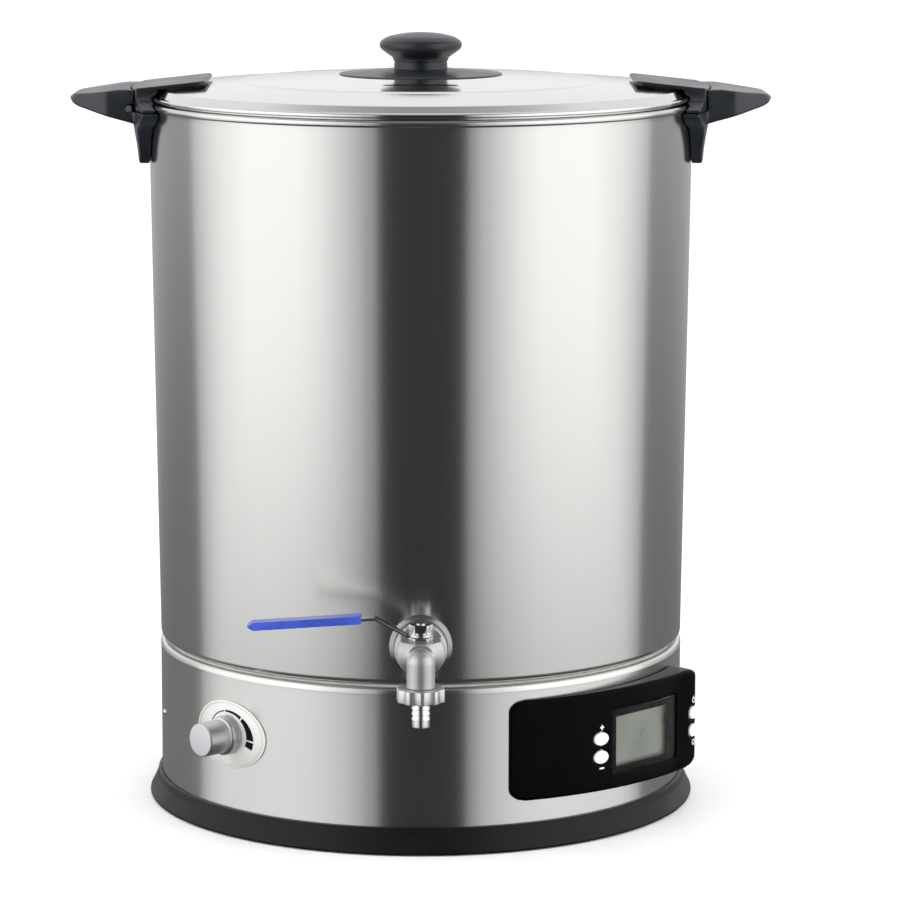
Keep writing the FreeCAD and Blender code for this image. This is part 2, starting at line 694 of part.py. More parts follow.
def make_lever(stem_y, level):
    low, rise = dim("lever_level"), dim("lever_rise")
    gauge, half = 2, 5
    bend, start, end = dim("lever_bend"), dim("sleeve_start"), dim("sleeve_end")
    droop = math.tan(math.radians(3.4))
    side = [(-6, low), (-9, low), (-bend, rise - gauge / 2), (-end + 8, rise - gauge / 2 - (end - bend) * droop),
            (-end + 8, rise + gauge / 2 - (end - bend) * droop), (-bend, rise + gauge / 2),
            (-9.6, low + gauge), (-6, low + gauge)]
    arm = side_slab(side, half)
    arm.translate(Vector(0, stem_y, 0))
    hub = Part.makeCylinder(8.2, gauge, Vector(0, stem_y, low))
    lever = arm.fuse(hub).cut(Part.makeCylinder(3, 20, Vector(0, stem_y, low - 5)))
    free_form("tap_lever", lever)
    foot = level + dim("ball_radius") + 0.05
    stem = Part.makeCylinder(2.95, low + 9 - foot, Vector(0, stem_y, foot))
    free_form("tap_stem", stem)
    nut = hexagon(13.6, low + gauge + 1.2, low + 8.2, Vector(0, stem_y, 0))
    nut = nut.fuse(Part.makeCylinder(7.6, 1.2, Vector(0, stem_y, low + gauge + 0.05)))
    nut = nut.cut(Part.makeCylinder(3, 30, Vector(0, stem_y, low - 5)))
    free_form("stem_nut", nut)

    thick = 2.7
    first = rise - (start - bend) * droop
    last = rise - (end - bend) * droop
    outline = [(-start, first - thick), (-end + 4, last - thick), (-end, last), (-end + 4, last + thick),
               (-start, first + thick)]
    sleeve = side_slab(outline, half + 1)
    sleeve.translate(Vector(0, stem_y, 0))
    free_form("lever_sleeve", sleeve.cut(lever))


def make_tail(spout_y):
    low, high = dim("nut_low"), dim("nut_high")
    place = Vector(0, spout_y, 0)
    points = []
    lobes = 10
    for index in range(lobes * 4):
        angle = math.radians(360 * index / (lobes * 4))
        reach = dim("nut_radius") - (1.3 if index % 4 in (0, 1) else 0)
        points.append((reach * math.cos(angle), reach * math.sin(angle)))
    nut = slab(points, low, high)
    nut = nut.cut(Part.makeCylinder(8.6, 30, Vector(0, 0, low + 0.95)))
    nut = nut.cut(Part.makeCylinder(6.3, 30, Vector(0, 0, low - 5)))
    nut.translate(place)
    free_form("spout_nut", nut)

    land, end = dim("tail_radius"), dim("tail_end")
    crest = land + 0.5
    profile = [(4, end), (land, end), (land, end + 5)]
    for index in range(3):
        step = end + 5 + 3.6 * index
        profile += [(crest, step + 0.4), (land - 0.4, step + 3.4)]
    profile += [(land, low - 0.4), (land, low + 1), (8.1, low + 1), (8.1, low + 2.2), (4, low + 2.2)]
    tail = spun(profile)
    tail.translate(place)
    free_form("hose_tail", tail)
    seal = tube(4.6, 8, low + 2.25, dim("nut_high") - 5.25)
    seal.translate(place)
    free_form("spout_washer", seal)


# ---------------------------------------------------------------- lid


def make_lid():
    gauge = dim("lid_sheet")
    ring, level = dim("lid_ring"), dim("lid_level")
    top = [(0, dim("crown_level")), (dim("crown_ring"), dim("crown_level")),
           (dim("dome_ring"), dim("dome_level")), (dim("dome_ring") + 3, dim("dome_level") - 0.9),
           (dim("shoulder_ring"), dim("shoulder_level")),
           (dim("shoulder_ring") + 3.5, dim("shoulder_level") - 1.4),
           (ring, level + 0.8)]
    under = [(radius, height - gauge) for radius, height in reversed(top)]
    sheet_metal = spun(top + under)
    bead = Part.makeTorus(ring, dim("lid_bead"), Vector(0, 0, level))
    skirt = tube(dim("skirt_radius") - gauge, dim("skirt_radius"), dim("skirt_level"), level + 2.9)
    lid = sheet_metal.fuse([bead, skirt])
    half = dim("vent_length") / 2
    slot = Part.makeBox(2 * half, dim("vent_width"), 40,
                        Vector(-half, -dim("vent_ring") - dim("vent_width") / 2, 490))
    corners = [edge for edge in slot.Edges if abs(edge.Length - 40) < 0.01]
    slot = slot.makeFillet(dim("vent_width") / 2 - 0.01, corners)
    lid = lid.cut(slot)
    lid = lid.cut(Part.makeCylinder(3.2, 40, Vector(0, 0, 490)))
    free_form("lid", lid)

    crown = dim("crown_level")
    turned("knob_disc", [("3.2", "crown_level + 0.1"), ("48", "crown_level + 0.1"),
                         ("disc_radius", "crown_level - 0.2"), ("disc_radius", "crown_level + disc_edge - 0.2"),
                         ("neck_radius + 3", "crown_level + 4.2"), ("3.2", "crown_level + 4.2")])
    turned("lid_knob", [
        ("0", "crown_level + 12"), ("3.3", "crown_level + 12"), ("3.3", "crown_level + 4.3"),
        ("neck_radius", "crown_level + 4.3"), ("neck_radius - 0.6", "crown_level + 9"),
        ("neck_radius + 1.8", "crown_level + 12.5"), ("knob_radius - 3", "crown_level + 15.5"),
        ("knob_radius", "knob_top - 8"), ("knob_radius - 1.6", "knob_top - 4.6"),
        ("knob_radius - 7", "knob_top - 1.6"), ("knob_radius - 15", "knob_top"), ("0", "knob_top"),
    ])
    turned("knob_washer", [("3.2", "crown_level - lid_sheet - 1.6"),
                           ("11", "crown_level - lid_sheet - 1.6"),
                           ("11", "crown_level - lid_sheet - 0.1"),
                           ("3.2", "crown_level - lid_sheet - 0.1")])
    head = Part.makeCylinder(5.2, 2.6, Vector(0, 0, crown - gauge - 4.4))
    screw = head.fuse(Part.makeCylinder(3, 15, Vector(0, 0, crown - gauge - 2)))
    free_form("knob_screw", screw)


# ---------------------------------------------------------------- handles and lid clips


def placed(shape, side):
    """The right-hand piece as drawn, or turned by half a turn for the left."""
    copy = shape.copy()
    if side == "left":
        copy.rotate(ORIGIN, UP, 180)
    return copy


def handle_plan(half, low, high):
    """The handle seen from above: straight sides and one wide arc round the tip."""
    tip, shoulder = dim("handle_tip"), dim("handle_tip") - 28
    edges = [Part.makeLine(Vector(150, -half, low), Vector(shoulder, -half + 1, low)),
             Part.Arc(Vector(shoulder, -half + 1, low), Vector(tip, 0, low),
                      Vector(shoulder, half - 1, low)).toShape(),
             Part.makeLine(Vector(shoulder, half - 1, low), Vector(150, half, low)),
             Part.makeLine(Vector(150, half, low), Vector(150, -half, low))]
    return Part.Face(Part.Wire(edges)).extrude(Vector(0, 0, high - low))


def across_rim(points):
    """A slab through the rim, drawn as seen from the side of the kettle by (y, z) corners."""
    corners = [Vector(170, y, z) for y, z in points]
    corners += [Vector(170, -y, z) for y, z in reversed(points)]
    return Part.Face(Part.makePolygon(corners + corners[:1])).extrude(Vector(35, 0, 0))


def make_handle():
    top, tip = dim("handle_top"), dim("handle_tip")
    half, shelf = dim("handle_half"), dim("clip_shelf")
    ring = dim("clip_ring")
    low = dim("leg_low")
    grip = side_slab([(180, shelf), (ring - 6, shelf), (ring - 6, top), (ring + 6, top), (tip - 22, top - 2),
                      (tip - 5, top - 4), (tip, top - 7), (tip - 3, top - 10.5), (tip - 8, top - 12.5),
                      (197, 475.5), (180, 475.5)], 60)
    grip = grip.common(handle_plan(half, 470, 505))
    seat = Part.makeCylinder(ring, 40, Vector(0, 0, shelf))
    channel = tube(180, ring + 5.8, shelf, shelf + 4.6)
    channel = channel.cut(Part.makeBox(60, 120, 20, Vector(160, -110, shelf - 2)))
    grip = grip.cut([seat, channel])
    wide = dim("rim_half")
    leg = side_slab([(170, low), (196.2, low), (198.2, low + 4), (199.6, 478), (199.6, shelf), (170, shelf)],
                    wide)
    leg = leg.common(Part.makeCylinder(199.8, 60, Vector(0, 0, low)))
    front = across_rim([(-wide, shelf), (-wide, shelf - 3), (6 - wide, shelf - 8), (-half - 4, shelf - 12),
                        (-half - 1, shelf - 18), (3 - half, low)])
    foot = [edge for edge in front.Edges
            if abs(edge.Length - 35) < 0.01 and abs(edge.CenterOfMass.z - low) < 0.01]
    leg = leg.common(front.makeFillet(6, foot))
    handle = grip.fuse(leg)
    neck = dim("vessel_neck_radius") + 0.35
    handle = handle.cut(Part.makeCylinder(neck, 200, Vector(0, 0, 400)))
    handle = handle.cut(tube(170, dim("bead_ring") + dim("bead_radius") + 0.35, dim("bead_level") - 2.8, 510))
    pin = along(Vector(0, 1, 0), 60, dim("lock_pin_radius") + 0.06,
                Vector(dim("lock_pin_x"), -8.5, dim("lock_pin_level")))
    handle = handle.cut(pin)
    for angle in handle_screw_angles()[:2]:
        handle = handle.cut(along(polar(1, angle), 16, 1.9, polar(182, angle, handle_screw_level())))
    return handle


def make_clip():
    """The lid's clip: a flat ear over the lid's edge and a foot between rim and handle."""
    ring = dim("clip_ring") - dim("clip_gap")
    top, inner = dim("handle_top"), dim("clip_inner")
    half, shelf = dim("handle_half"), dim("clip_shelf")
    profile = [(ring, shelf + 0.4), (ring, top), (inner, top + 6), (inner - 2, top + 4.4),
               (inner, top + 2.6), (178, top + 0.6), (189.4, top - 5), (189.4, shelf + 0.4)]
    clip = side_slab([(x + (3 if index < 2 else 0), z) for index, (x, z) in enumerate(profile)], half)
    clip = clip.common(Part.makeCylinder(ring, 60, Vector(0, 0, 470)))
    nose = Part.makeBox(70, 2 * half, 60, Vector(inner - 3, -half, 470))
    corners = [edge for edge in nose.Edges
               if abs(edge.Length - 60) < 0.01 and edge.CenterOfMass.x < inner]
    clip = clip.common(nose.makeFillet(9, corners))
    # the clip's foot spreads along the rim on both sides
    wide = dim("rim_half")
    foot = across_rim([(-wide, shelf + 0.4), (-wide, shelf + 2.2), (-half - 4, shelf + 8), (2 - half, top - 2)])
    clip = clip.fuse(foot.common(Part.makeCylinder(ring, 60, Vector(0, 0, 470))))
    rim = dim("bead_ring") + dim("bead_radius") + 0.5
    clip = clip.cut(Part.makeCylinder(rim, 24, Vector(0, 0, 466)))
    lid_form = spun([(0, 470), (rim - 1, 470), (dim("lid_ring") + dim("lid_bead") + 0.3, 470),
                     (dim("lid_ring") + dim("lid_bead") + 0.3, dim("lid_level") + 1.6),
                     (dim("shoulder_ring") + 3.8, dim("shoulder_level") - 0.9),
                     (dim("shoulder_ring"), dim("shoulder_level") + 0.4),
                     (dim("dome_ring"), dim("dome_level") + 0.4), (0, dim("dome_level") + 0.4)])
    clip = clip.cut(lid_form)
    clip = clip.cut(Part.makeBox(20, 61, 5.4, Vector(dim("lock_pin_x") - 3.2, -11, shelf - 1)))
    return max(clip.Solids, key=lambda solid: solid.Volume)


def make_handles():
    handle, clip = make_handle(), make_clip()
    pin = along(Vector(0, 1, 0), dim("handle_half") + 7.5, dim("lock_pin_radius"),
                Vector(dim("lock_pin_x"), -8, dim("lock_pin_level")))
    for side in ("left", "right"):
        free_form(side + "_handle", placed(handle, side))
        free_form(side + "_lid_clip", placed(clip, side))
        free_form(side + "_lock_pin", placed(pin, side))
    screws = []
    inside = dim("vessel_neck_radius") - 1.9
    for angle in handle_screw_angles():
        screw = Part.makeCylinder(4.5, 2.4, Vector(0, 0, -2.5))
        screw = screw.fuse(Part.makeCylinder(1.85, 10.5, Vector(0, 0, -0.2)))
        screws.append(outward(screw, angle, inside, handle_screw_level()))
    free_form("handle_screws", Part.Compound(screws))


make_vessel()
make_housing()
make_feet()
make_heater()
make_electrics()
make_thermostat()
make_panel()
make_tap()
make_lid()
make_handles()
doc.recompute()

for item in doc.Objects:
    for state in item.State:
        if state in ("Invalid", "Error"):
            raise SystemExit("%s is %s" % (item.Name, state))

os.makedirs("parts", exist_ok=True)
for item in NODES:
    if item.Shape.isNull() or not item.Shape.isValid():
        raise SystemExit("%s has no valid shape" % item.Label)
    item.Shape.exportStep("parts/%s.step" % item.Label)
    bounds = item.Shape.BoundBox
    print("%-18s solids %d volume %10.1f  z %7.1f %7.1f" % (
        item.Label, len(item.Shape.Solids), item.Shape.Volume, bounds.ZMin, bounds.ZMax))
print(len(NODES), "nodes")
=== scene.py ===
"""Brew kettle: a brushed steel vessel on its heater housing, with lid, side handles, ball-valve tap,
thermostat dial and control panel. Metres, +Z up, the tap faces -Y."""
import math

import bpy
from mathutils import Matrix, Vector


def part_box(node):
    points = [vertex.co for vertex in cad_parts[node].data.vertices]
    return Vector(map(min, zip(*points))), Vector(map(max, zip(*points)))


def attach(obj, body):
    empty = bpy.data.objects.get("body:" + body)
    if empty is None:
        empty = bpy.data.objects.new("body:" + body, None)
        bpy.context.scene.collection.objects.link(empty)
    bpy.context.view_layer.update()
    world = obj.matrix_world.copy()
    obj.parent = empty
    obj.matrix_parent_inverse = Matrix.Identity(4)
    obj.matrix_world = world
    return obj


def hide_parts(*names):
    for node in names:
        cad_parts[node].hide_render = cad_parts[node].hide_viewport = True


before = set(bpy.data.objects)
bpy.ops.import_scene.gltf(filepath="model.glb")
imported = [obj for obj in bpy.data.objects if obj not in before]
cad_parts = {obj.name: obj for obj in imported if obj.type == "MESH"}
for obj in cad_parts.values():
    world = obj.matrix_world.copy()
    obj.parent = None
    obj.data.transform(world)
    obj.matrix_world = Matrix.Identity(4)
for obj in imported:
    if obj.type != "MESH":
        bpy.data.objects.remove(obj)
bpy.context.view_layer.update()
MM = 0.001
UP = Vector((0, 0, 1))


# ---------------------------------------------------------------- workshop: moves used on many pieces


def alone(piece):
    """Leave one piece selected and active."""
    if bpy.context.mode != "OBJECT":
        bpy.ops.object.mode_set(mode="OBJECT")
    bpy.ops.object.select_all(action="DESELECT")
    piece.select_set(True)
    bpy.context.view_layer.objects.active = piece
    return piece


def pick_points(piece, wanted):
    """Select the vertices whose place passes the test; the piece is in edit mode."""
    bpy.ops.mesh.select_all(action="DESELECT")
    bpy.ops.object.mode_set(mode="OBJECT")
    for point in piece.data.vertices:
        point.select = wanted(point.co)
    bpy.ops.object.mode_set(mode="EDIT")


def start_point(name, place):
    """A piece that is one vertex, in edit mode, ready to be extruded."""
    bpy.ops.object.select_all(action="DESELECT")
    bpy.ops.mesh.primitive_plane_add(size=MM, location=(0, 0, 0))
    piece = bpy.context.active_object
    piece.name = piece.data.name = name
    bpy.ops.object.mode_set(mode="EDIT")
    bpy.ops.mesh.select_mode(type="VERT")
    bpy.ops.mesh.select_all(action="SELECT")
    bpy.ops.mesh.merge(type="CENTER")
    bpy.ops.transform.translate(value=place)
    return piece


def draw_on(steps):
    """Extrude the selected vertex along a list of moves."""
    for move in steps:
        bpy.ops.mesh.extrude_region_move(TRANSFORM_OT_translate={"value": move})


def round_corner(piece, corner, radius, turn, segments=5):
    """Round one corner of a drawn outline; turn is the angle that the outline turns by there."""
    pick_points(piece, lambda co: (co - corner).length < 1e-6)
    bpy.ops.mesh.bevel(affect="VERTICES", offset=radius * math.tan(turn / 2), segments=segments,
                       profile=0.5)


def turned(name, outline, rounds=None, steps=96, centre=(0, 0, 0), axis=UP, smooth=35):
    """A piece turned on a lathe. Outline: (radius, height) in millimetres from axis to axis, or a
    closed ring. Rounds: corner index to fillet radius in millimetres."""
    axis = Vector(axis).normalized()
    side = axis.orthogonal().normalized()
    middle = Vector(centre)
    corners = [middle + side * (radius * MM) + axis * (height * MM) for radius, height in outline]
    closed = min(outline[0][0], outline[-1][0]) > 0
    piece = start_point(name, corners[0])
    draw_on([after - before for before, after in zip(corners, corners[1:])])
    if closed:
        pick_points(piece, lambda co: min((co - corners[0]).length, (co - corners[-1]).length) < 1e-6)
        bpy.ops.mesh.edge_face_add()
    for index, radius in (rounds or {}).items():
        before = corners[index] - corners[index - 1]
        after = corners[(index + 1) % len(corners)] - corners[index]
        round_corner(piece, corners[index], radius * MM, before.angle(after))
    bpy.ops.mesh.select_all(action="SELECT")
    bpy.ops.mesh.spin(steps=steps, angle=2 * math.pi, center=middle, axis=axis)
    bpy.ops.mesh.select_all(action="SELECT")
    bpy.ops.mesh.remove_doubles(threshold=2e-6)
    bpy.ops.mesh.normals_make_consistent(inside=False)
    bpy.ops.object.mode_set(mode="OBJECT")
    bpy.ops.object.shade_smooth_by_angle(angle=math.radians(smooth))
    return piece


def copied(node, name):
    """A CAD node's form as a new piece, its loose triangles joined."""
    piece = bpy.data.objects.new(name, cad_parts[node].data.copy())
    piece.data.name = name
    bpy.context.scene.collection.objects.link(piece)
    piece.data.materials.clear()
    alone(piece)
    if piece.data.has_custom_normals:
        bpy.ops.mesh.customdata_custom_splitnormals_clear()
    bpy.ops.object.mode_set(mode="EDIT")
    bpy.ops.mesh.select_mode(type="VERT")
    bpy.ops.mesh.select_all(action="SELECT")
    bpy.ops.mesh.remove_doubles(threshold=2e-6)
    bpy.ops.mesh.normals_make_consistent(inside=False)
    bpy.ops.object.mode_set(mode="OBJECT")
    return piece


def modified(piece, kind, **settings):
    """Add one modifier and apply it."""
    alone(piece)
    modifier = piece.modifiers.new(kind.title(), kind)
    for key, value in settings.items():
        setattr(modifier, key, value)
    bpy.ops.object.modifier_apply(modifier=modifier.name)
    return piece


def moulded(node, name, grain, passes, shaped=None):
    """A moulded or cast piece: the CAD form with its edges softened, more so with more passes.
    Shaped is an edit made on the fine mesh first."""
    piece = modified(copied(node, name), "REMESH", mode="VOXEL", voxel_size=grain * MM)
    if shaped:
        alone(piece)
        bpy.ops.object.mode_set(mode="EDIT")
        shaped(piece)
        bpy.ops.object.mode_set(mode="OBJECT")
    modified(piece, "SMOOTH", factor=0.5, iterations=passes)
    alone(piece)
    bpy.ops.object.shade_smooth()
    return piece


def machined(node, name, width, segments=2, flat=1.0, smooth=40):
    """A machined piece: flat faces joined up, and a small chamfer turned onto every sharp edge."""
    piece = copied(node, name)
    bpy.ops.object.mode_set(mode="EDIT")
    bpy.ops.mesh.select_all(action="SELECT")
    bpy.ops.mesh.dissolve_limited(angle_limit=math.radians(flat))
    bpy.ops.object.mode_set(mode="OBJECT")
    modified(piece, "BEVEL", width=width * MM, segments=segments, limit_method="ANGLE",
             angle_limit=math.radians(28), use_clamp_overlap=True)
    alone(piece)
    bpy.ops.object.shade_smooth_by_angle(angle=math.radians(smooth))
    return piece


def two_lines(name, rows):
    """A strip between two drawn lines, in edit mode."""
    piece = start_point(name, rows[0][0])
    draw_on([after - before for before, after in zip(rows[0], rows[0][1:])])
    bpy.ops.object.mode_set(mode="OBJECT")
    extra = start_point(name + "_edge", rows[1][0])
    draw_on([after - before for before, after in zip(rows[1], rows[1][1:])])
    bpy.ops.object.mode_set(mode="OBJECT")
    alone(piece)
    extra.select_set(True)
    bpy.ops.object.join()
    bpy.ops.object.mode_set(mode="EDIT")
    bpy.ops.mesh.select_all(action="SELECT")
    bpy.ops.mesh.bridge_edge_loops()
    return piece


def finish_stroke(piece, bearing, ink=0.15):
    """Give a printed mark in edit mode its ink thickness, outwards at a bearing from the front."""
    out = Vector((math.sin(math.radians(bearing)), -math.cos(math.radians(bearing)), 0))
    bpy.ops.mesh.select_all(action="SELECT")
    bpy.ops.mesh.extrude_region_move(TRANSFORM_OT_translate={"value": out * (ink * MM)})
    bpy.ops.mesh.select_all(action="SELECT")
    bpy.ops.mesh.normals_make_consistent(inside=False)
    bpy.ops.object.mode_set(mode="OBJECT")
    return piece


# ---------------------------------------------------------------- shared surface effects


def new_group(name, inputs, outputs):
    group = bpy.data.node_groups.new(name, "ShaderNodeTree")
    for label, kind, value in inputs:
        socket = group.interface.new_socket(label, in_out="INPUT", socket_type=kind)
        if value is not None:
            socket.default_value = value
    for label, kind in outputs:
        group.interface.new_socket(label, in_out="OUTPUT", socket_type=kind)
    return group, group.nodes.new("NodeGroupInput"), group.nodes.new("NodeGroupOutput")


def brush_marks_group():
    """Long fine scratches, all in one direction, with a slow drift in how deep they are."""
    group, start, end = new_group("brush_marks", [("Vector", "NodeSocketVector", None),
                                                  ("Depth", "NodeSocketFloat", 1.0)],
                                  [("Marks", "NodeSocketFloat"), ("Height", "NodeSocketFloat")])
    link = group.links.new
    fine = group.nodes.new("ShaderNodeTexNoise")
    fine.inputs["Scale"].default_value = 1.0
    fine.inputs["Detail"].default_value = 4.0
    fine.inputs["Roughness"].default_value = 0.65
    drift = group.nodes.new("ShaderNodeTexNoise")
    drift.inputs["Scale"].default_value = 0.06
    drift.inputs["Detail"].default_value = 2.0
    mixed = group.nodes.new("ShaderNodeMath")
    mixed.operation = "MULTIPLY_ADD"
    mixed.inputs[1].default_value = 0.3
    height = group.nodes.new("ShaderNodeMath")
    height.operation = "MULTIPLY"
    link(start.outputs["Vector"], fine.inputs["Vector"])
    link(start.outputs["Vector"], drift.inputs["Vector"])
    link(drift.outputs["Fac"], mixed.inputs[0])
    scaled = group.nodes.new("ShaderNodeMath")
    scaled.operation = "MULTIPLY"
    scaled.inputs[1].default_value = 0.7
    link(fine.outputs["Fac"], scaled.inputs[0])
    link(scaled.outputs[0], mixed.inputs[2])
    link(mixed.outputs[0], end.inputs["Marks"])
    link(fine.outputs["Fac"], height.inputs[0])
    link(start.outputs["Depth"], height.inputs[1])
    link(height.outputs[0], end.inputs["Height"])
    return group


def fine_grain_group():
    """The fine even grain of a moulded, cast or blasted surface, with soft larger patches."""
    group, start, end = new_group("fine_grain", [("Vector", "NodeSocketVector", None),
                                                 ("Size", "NodeSocketFloat", 900.0)],
                                  [("Grain", "NodeSocketFloat"), ("Patches", "NodeSocketFloat")])
    link = group.links.new
    grain = group.nodes.new("ShaderNodeTexNoise")
    grain.inputs["Detail"].default_value = 3.0
    patches = group.nodes.new("ShaderNodeTexNoise")
    patches.inputs["Scale"].default_value = 35.0
    patches.inputs["Detail"].default_value = 4.0
    spread = group.nodes.new("ShaderNodeMapRange")
    spread.inputs["From Min"].default_value = 0.35
    spread.inputs["From Max"].default_value = 0.65
    link(start.outputs["Vector"], grain.inputs["Vector"])
    link(start.outputs["Size"], grain.inputs["Scale"])
    link(start.outputs["Vector"], patches.inputs["Vector"])
    link(patches.outputs["Fac"], spread.inputs["Value"])
    link(grain.outputs["Fac"], end.inputs["Grain"])
    link(spread.outputs["Result"], end.inputs["Patches"])
    return group


BRUSH_TURN = 0.25
BRUSH_MARKS = brush_marks_group()
FINE_GRAIN = fine_grain_group()


def between(tree, mask, low, high):
    """A value that goes from low to high as the mask goes from 0 to 1."""
    ranged = tree.nodes.new("ShaderNodeMapRange")
    ranged.inputs["To Min"].default_value = low
    ranged.inputs["To Max"].default_value = high
    tree.links.new(mask, ranged.inputs["Value"])
    return ranged.outputs["Result"]


def tinted(tree, mask, dark, light):
    """A colour that goes from dark to light as the mask goes from 0 to 1."""
    mix = tree.nodes.new("ShaderNodeMix")
    mix.data_type = "RGBA"
    mix.inputs[6].default_value = (*dark, 1)
    mix.inputs[7].default_value = (*light, 1)
    tree.links.new(mask, mix.inputs[0])
    return mix.outputs[2]


def blank_finish(name, metallic):
    material = bpy.data.materials.new(name)
    material.use_nodes = True
    tree = material.node_tree
    shader = tree.nodes["Principled BSDF"]
    shader.inputs["Metallic"].default_value = metallic
    place = tree.nodes.new("ShaderNodeTexCoord").outputs["Object"]
    return material, tree, shader, place


def set_relief(tree, shader, height, depth, reach=0.0004):
    bump = tree.nodes.new("ShaderNodeBump")
    bump.inputs["Strength"].default_value = depth
    bump.inputs["Distance"].default_value = reach
    tree.links.new(height, bump.inputs["Height"])
    tree.links.new(bump.outputs["Normal"], shader.inputs["Normal"])


def brushed(name, dark, light, rough, stretch, spread=0.04, along=0.0, depth=0.04, rings=False):
    """Brushed or turned metal. Stretch: how fine the marks are along X, Y and Z, per metre. With rings
    the marks are circles about the kettle's axis."""
    material, tree, shader, source = blank_finish(name, 1.0)
    if rings:
        flat = tree.nodes.new("ShaderNodeVectorMath")
        flat.operation = "MULTIPLY"
        flat.inputs[1].default_value = (1, 1, 0)
        away = tree.nodes.new("ShaderNodeVectorMath")
        away.operation = "LENGTH"
        joined = tree.nodes.new("ShaderNodeCombineXYZ")
        tree.links.new(source, flat.inputs[0])
        tree.links.new(flat.outputs["Vector"], away.inputs[0])
        tree.links.new(away.outputs["Value"], joined.inputs["X"])
        source = joined.outputs["Vector"]
    scaled = tree.nodes.new("ShaderNodeVectorMath")
    scaled.operation = "MULTIPLY"
    scaled.inputs[1].default_value = stretch
    tree.links.new(source, scaled.inputs[0])
    marks = tree.nodes.new("ShaderNodeGroup")
    marks.node_tree = BRUSH_MARKS
    tree.links.new(scaled.outputs["Vector"], marks.inputs["Vector"])
    tree.links.new(tinted(tree, marks.outputs["Marks"], dark, light), shader.inputs["Base Color"])
    tree.links.new(between(tree, marks.outputs["Marks"], rough - spread, rough + spread),
                   shader.inputs["Roughness"])
    shader.inputs["Anisotropic"].default_value = along
    shader.inputs["Anisotropic Rotation"].default_value = BRUSH_TURN
    set_relief(tree, shader, marks.outputs["Height"], depth, 0.0001)
    return material


def grained(name, dark, light, rough, size=900.0, spread=0.05, depth=0.1, metallic=0.0, coat=0.0,
            reach=0.0003, shine=0.5):
    """Moulded plastic, rubber, paint, ceramic or cast metal with a fine even grain."""
    material, tree, shader, place = blank_finish(name, metallic)
    grain = tree.nodes.new("ShaderNodeGroup")
    grain.node_tree = FINE_GRAIN
    grain.inputs["Size"].default_value = size
    tree.links.new(place, grain.inputs["Vector"])
    tree.links.new(tinted(tree, grain.outputs["Patches"], dark, light), shader.inputs["Base Color"])
    tree.links.new(between(tree, grain.outputs["Patches"], rough - spread, rough + spread),
                   shader.inputs["Roughness"])
    shader.inputs["Specular IOR Level"].default_value = shine
    shader.inputs["Coat Weight"].default_value = coat
    shader.inputs["Coat Roughness"].default_value = 0.06
    set_relief(tree, shader, grain.outputs["Grain"], depth, reach)
    return material


def window_glass(name):
    """The clear, slightly smoky cover of the display."""
    material, tree, shader, place = blank_finish(name, 0.0)
    grain = tree.nodes.new("ShaderNodeGroup")
    grain.node_tree = FINE_GRAIN
    grain.inputs["Size"].default_value = 40.0
    tree.links.new(place, grain.inputs["Vector"])
    tree.links.new(tinted(tree, grain.outputs["Patches"], (0.86, 0.88, 0.87), (0.93, 0.94, 0.93)),
                   shader.inputs["Base Color"])
    tree.links.new(between(tree, grain.outputs["Patches"], 0.03, 0.07), shader.inputs["Roughness"])
    shader.inputs["Transmission Weight"].default_value = 1.0
    shader.inputs["IOR"].default_value = 1.12
    return material


STEEL_DARK, STEEL_LIGHT = (0.63, 0.63, 0.615), (0.67, 0.67, 0.655)
WALL_STEEL = brushed("brushed_wall_steel", STEEL_DARK, STEEL_LIGHT, 0.21, (5, 5, 2600), 0.02,
                     along=0.70, depth=0.010)
LID_STEEL = brushed("spun_lid_steel", (0.70, 0.69, 0.68), (0.74, 0.73, 0.72), 0.12, (1600, 1, 1),
                    0.02, depth=0.006, rings=True)
BRIGHT_STEEL = brushed("polished_steel", (0.68, 0.68, 0.67), (0.76, 0.76, 0.75), 0.12,
                       (40, 40, 900), depth=0.02)
CAST_STEEL = grained("cast_tap_steel", (0.52, 0.52, 0.52), (0.60, 0.60, 0.60), 0.46, 1600, 0.04,
                     0.12, 1.0)
COLLAR_STEEL = brushed("collar_steel", (0.26, 0.26, 0.255), (0.31, 0.31, 0.305), 0.26,
                       (30, 1500, 30), 0.03, depth=0.01)
NUT_STEEL = grained("union_nut_steel", (0.58, 0.58, 0.58), (0.68, 0.68, 0.68), 0.36, 1500, 0.04,
                    0.08, 1.0)
TURNED_STEEL = brushed("turned_tap_steel", (0.70, 0.70, 0.69), (0.80, 0.80, 0.79), 0.20,
                       (60, 60, 2200), depth=0.04)
LEVER_STEEL = grained("lever_steel", (0.58, 0.58, 0.57), (0.70, 0.70, 0.69), 0.24, 1200, 0.05,
                      0.08, 1.0)
KNOB_ALUMINIUM = brushed("knob_aluminium", (0.54, 0.55, 0.57), (0.66, 0.67, 0.69), 0.36,
                         (1500, 1500, 60), depth=0.06)
BLACK_PLASTIC = grained("black_moulding", (0.006, 0.008, 0.012), (0.010, 0.013, 0.019), 0.34,
                        2400, 0.05, 0.08, shine=0.55)
BASE_PLASTIC = grained("base_moulding", (0.0020, 0.0025, 0.0034), (0.0034, 0.0042, 0.0056), 0.38,
                       2000, 0.05, 0.08, shine=0.20)
GLOSS_BLACK = grained("gloss_panel_black", (0.0003, 0.0003, 0.0005), (0.0007, 0.0007, 0.0010),
                      0.20, 500, 0.03, 0.010, shine=0.04)
BUTTON_WHITE = grained("button_white", (0.72, 0.72, 0.74), (0.80, 0.80, 0.82), 0.35, 1500, 0.04,
                       0.04)
PRINT_BLACK = grained("print_black", (0.002, 0.002, 0.002), (0.005, 0.005, 0.005), 0.45, 1500,
                      shine=0.10)
PRINT_WHITE = grained("print_white", (0.70, 0.70, 0.70), (0.80, 0.80, 0.80), 0.45, 1500)
